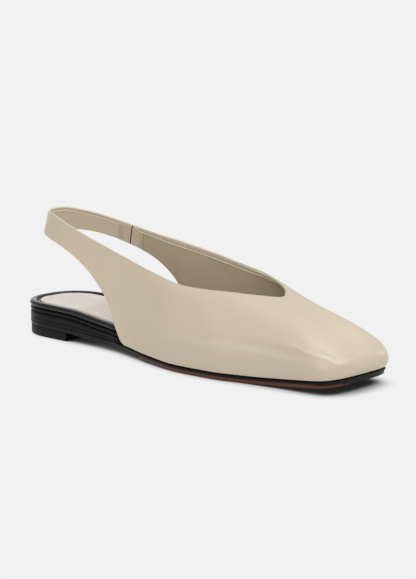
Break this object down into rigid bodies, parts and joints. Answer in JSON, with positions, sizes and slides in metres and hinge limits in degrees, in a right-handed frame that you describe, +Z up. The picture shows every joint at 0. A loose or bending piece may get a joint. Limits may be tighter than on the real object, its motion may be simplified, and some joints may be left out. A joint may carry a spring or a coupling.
{
  "type": "slingback flat shoe",
  "caption": "Women's cream leather slingback flat with a square toe, V throat, sling strap and low black heel, right shoe.",
  "frame": {"origin": "middle of the heel tread's bottom face, on the floor", "axes": "+X to the toe, +Y to the inner side of the foot, +Z up"},
  "size_m": [0.2668, 0.0753, 0.0797],
  "materials": {
    "cream_leather": "smooth semi-matte calf",
    "sock_leather": "pale lining leather",
    "black_edge": "black polished edge",
    "sole_leather": "red-brown leather sole",
    "elastic": "ribbed elastic",
    "lift_rubber": "black matt rubber"
  },
  "bodies": {
    "root": {"upper": "cream_leather", "gore_elastic": "elastic", "insole_sock": "sock_leather", "footbed_rim": "black_edge", "rand": "black_edge", "heel_wedge": "black_edge", "outsole": "sole_leather", "top_lift": "lift_rubber"}
  },
  "joints": []
}
